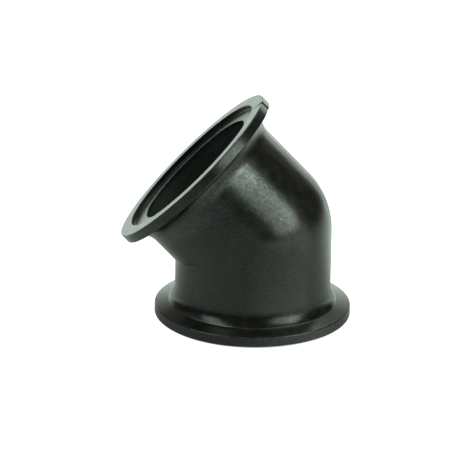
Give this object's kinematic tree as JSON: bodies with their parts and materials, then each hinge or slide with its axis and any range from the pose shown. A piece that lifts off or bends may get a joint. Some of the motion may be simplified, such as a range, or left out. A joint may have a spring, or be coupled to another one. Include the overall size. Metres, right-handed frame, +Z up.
{
  "type": "pipe elbow",
  "caption": "Moulded black plastic 45 degree pipe elbow with wedge-backed clamp flanges, and a flat rubber gasket seated in the lower flange.",
  "frame": {"origin": "on the floor under the middle of the object's bounding box, level with the underside of the lower gasket", "axes": "+Z up along the lower leg's axis, which stands 6.6 mm to +X of the origin; the upper leg leans 45 degrees from +Z towards -X; the XZ plane halves the object"},
  "size_m": [0.0896, 0.0764, 0.0866],
  "materials": {
    "elbow_plastic": "black moulded polypropylene with a fine satin grain",
    "gasket_rubber": "matt black EPDM rubber"
  },
  "bodies": {
    "root": {"elbow_body": "elbow_plastic", "lower_gasket": "gasket_rubber"}
  },
  "joints": []
}
